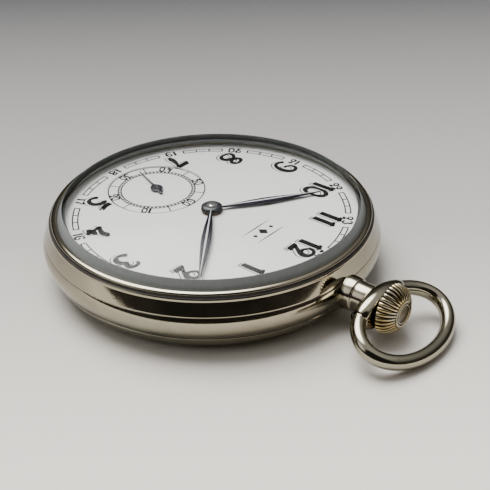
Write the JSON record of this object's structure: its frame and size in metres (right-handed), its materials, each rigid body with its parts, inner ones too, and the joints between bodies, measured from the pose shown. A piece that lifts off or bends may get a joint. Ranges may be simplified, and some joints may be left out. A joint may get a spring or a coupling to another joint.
{
  "type": "pocket watch",
  "caption": "Open face pocket watch, crown and bow at 12, sunk seconds dial at 6, blued leaf hands and a full lever movement under a press-fit bezel and back",
  "frame": {"origin": "on the dial's axis, at the flat of the back cover, on which the watch lies", "axes": "+Z out of the dial, +Y towards the crown at 12 o'clock, +X towards 3 o'clock"},
  "size_m": [0.048, 0.062, 0.0104],
  "materials": {
    "nickel_case": "polished, lightly worn",
    "crown_gilt": "polished, silver worn through to gilt",
    "crystal_glass": "clear, bevelled edge",
    "dial_enamel": "smooth white enamel, black print",
    "blued_steel": "polished, blued nearly black",
    "gilt_plate": "fine grained, gilt",
    "brass_wheel": "polished",
    "steel": "polished",
    "ruby": "polished synthetic ruby"
  },
  "bodies": {
    "case": {"case_middle": "nickel_case", "pendant": "nickel_case", "case_screws": "blued_steel", "main_plate": "gilt_plate", "barrel_bridge": "gilt_plate", "train_bridge": "gilt_plate", "pallet_bridge": "gilt_plate", "balance_cock": "gilt_plate", "bridge_screws": "blued_steel", "train_jewels": "ruby", "crown_wheel_screw": "steel", "click_spring": "steel", "yoke_spring": "steel", "setting_bridge": "steel", "dial": "dial_enamel", "hairspring": "blued_steel", "hairspring_stud": "steel"},
    "bezel": {"bezel": "nickel_case", "crystal": "crystal_glass"},
    "dust_cover": {"dust_cover": "nickel_case"},
    "back_cover": {"back_cover": "nickel_case"},
    "bow": {"bow": "nickel_case"},
    "winding_pinion": {"winding_pinion": "steel"},
    "clutch": {"clutch": "steel"},
    "stem": {"winding_stem": "steel", "crown": "crown_gilt"},
    "setting_lever": {"setting_lever": "steel"},
    "yoke": {"yoke": "steel"},
    "crown_wheel": {"crown_wheel": "steel"},
    "ratchet": {"ratchet_wheel": "steel", "ratchet_screw": "steel", "barrel_arbor": "steel"},
    "click": {"click": "steel"},
    "barrel": {"barrel_drum": "brass_wheel", "barrel_cover": "brass_wheel", "mainspring": "steel"},
    "centre": {"centre_pinion": "steel", "centre_wheel": "brass_wheel", "cannon_pinion": "steel", "minute_hand": "blued_steel"},
    "third": {"third_pinion": "steel", "third_wheel": "brass_wheel"},
    "fourth": {"fourth_pinion": "steel", "fourth_wheel": "brass_wheel", "seconds_hand": "blued_steel"},
    "escape": {"escape_pinion": "steel", "escape_wheel": "steel"},
    "minute_wheel": {"minute_wheel": "brass_wheel"},
    "setting_wheel": {"setting_wheel": "steel"},
    "hour_wheel": {"hour_wheel": "brass_wheel", "hour_hand": "blued_steel"},
    "pallet": {"pallet_fork": "steel", "pallet_stones": "ruby"},
    "balance": {"balance_wheel": "brass_wheel", "balance_screws": "brass_wheel", "balance_staff": "steel", "hairspring_collet": "brass_wheel", "roller": "steel", "impulse_jewel": "ruby"},
    "regulator": {"regulator": "steel"}
  },
  "joints": [
    {"name": "bezel_lift", "type": "slide", "parent": "case", "child": "bezel", "axis": [0, 0, 1], "range_m": [0, 0.012]},
    {"name": "dust_cover_lift", "type": "slide", "parent": "case", "child": "dust_cover", "axis": [0, 0, -1], "range_m": [0, 0.01]},
    {"name": "back_cover_lift", "type": "slide", "parent": "dust_cover", "child": "back_cover", "axis": [0, 0, -1], "range_m": [0, 0.02]},
    {"name": "bow_swing", "type": "hinge", "parent": "case", "child": "bow", "pos_m": [0, 0.0289, 0.0044], "axis": [1, 0, 0], "range_deg": [-97.5, 142.5]},
    {"name": "crown_turn", "type": "hinge", "parent": "case", "child": "winding_pinion", "pos_m": [0, 0.0169, 0.0044], "axis": [0, 1, 0], "continuous": true},
    {"name": "clutch_shift", "type": "slide", "parent": "winding_pinion", "child": "clutch", "axis": [0, -1, 0], "range_m": [0, 0.00041]},
    {"name": "crown_pull", "type": "slide", "parent": "winding_pinion", "child": "stem", "axis": [0, 1, 0], "range_m": [0, 0.001]},
    {"name": "setting_lever_rock", "type": "hinge", "parent": "case", "child": "setting_lever", "pos_m": [0.0044, 0.01945, 0.0072], "axis": [0, 0, -1], "range_deg": [0, 16.27]},
    {"name": "yoke_rock", "type": "hinge", "parent": "case", "child": "yoke", "pos_m": [0.0056, 0.0134, 0.00645], "axis": [0, 0, 1], "range_deg": [0, 5.6]},
    {"name": "crown_wheel_turn", "type": "hinge", "parent": "case", "child": "crown_wheel", "pos_m": [0, 0.0119, 0.00195], "axis": [0, 0, 1], "continuous": true},
    {"name": "ratchet_turn", "type": "hinge", "parent": "case", "child": "ratchet", "pos_m": [-0.00897, 0.00418, 0.00195], "axis": [0, 0, 1], "continuous": true},
    {"name": "click_lift", "type": "hinge", "parent": "case", "child": "click", "pos_m": [-0.01672, 0.00866, 0.00195], "axis": [0, 0, 1], "range_deg": [0, 9]},
    {"name": "barrel_turn", "type": "hinge", "parent": "case", "child": "barrel", "pos_m": [-0.00897, 0.00418, 0.0043], "axis": [0, 0, -1], "continuous": true},
    {"name": "centre_turn", "type": "hinge", "parent": "case", "child": "centre", "pos_m": [0, 0, 0.0054], "axis": [0, 0, -1], "continuous": true},
    {"name": "third_turn", "type": "hinge", "parent": "case", "child": "third", "pos_m": [0.00113, -0.00551, 0.0043], "axis": [0, 0, -1], "continuous": true},
    {"name": "seconds_turn", "type": "hinge", "parent": "case", "child": "fourth", "pos_m": [0, -0.0107, 0.005], "axis": [0, 0, -1], "continuous": true},
    {"name": "escape_turn", "type": "hinge", "parent": "case", "child": "escape", "pos_m": [0.00528, -0.0107, 0.0046], "axis": [0, 0, -1], "continuous": true},
    {"name": "minute_wheel_turn", "type": "hinge", "parent": "case", "child": "minute_wheel", "pos_m": [0.00183, 0.00392, 0.0069], "axis": [0, 0, -1], "continuous": true},
    {"name": "setting_wheel_turn", "type": "hinge", "parent": "case", "child": "setting_wheel", "pos_m": [0.00059, 0.0088, 0.0065], "axis": [0, 0, -1], "continuous": true},
    {"name": "hour_turn", "type": "hinge", "parent": "case", "child": "hour_wheel", "pos_m": [0, 0, 0.0073], "axis": [0, 0, -1], "continuous": true},
    {"name": "pallet_rock", "type": "hinge", "parent": "case", "child": "pallet", "pos_m": [0.0081, -0.00797, 0.0046], "axis": [0, 0, 1], "range_deg": [-5, 5]},
    {"name": "balance_swing", "type": "hinge", "parent": "case", "child": "balance", "pos_m": [0.0116, -0.0046, 0.0037], "axis": [0, 0, 1], "range_deg": [-270, 270]},
    {"name": "regulator_turn", "type": "hinge", "parent": "case", "child": "regulator", "pos_m": [0.0116, -0.0046, 0.00193], "axis": [0, 0, 1], "range_deg": [-18, 18]}
  ],
  "couplings": [
    {"joint": "clutch_shift", "follows": "crown_pull", "ratio": 0.4},
    {"joint": "setting_lever_rock", "follows": "crown_pull", "rad_per_m": 283.8},
    {"joint": "yoke_rock", "follows": "crown_pull", "rad_per_m": 97.561},
    {"joint": "crown_wheel_turn", "follows": "crown_turn", "ratio": 0.47059},
    {"joint": "ratchet_turn", "follows": "crown_turn", "ratio": -0.32},
    {"joint": "barrel_turn", "follows": "centre_turn", "ratio": -0.15385},
    {"joint": "third_turn", "follows": "centre_turn", "ratio": -8},
    {"joint": "seconds_turn", "follows": "centre_turn", "ratio": 60},
    {"joint": "escape_turn", "follows": "centre_turn", "ratio": -600},
    {"joint": "minute_wheel_turn", "follows": "centre_turn", "ratio": -0.33333},
    {"joint": "setting_wheel_turn", "follows": "centre_turn", "ratio": 0.6},
    {"joint": "hour_turn", "follows": "centre_turn", "ratio": 0.083333}
  ]
}
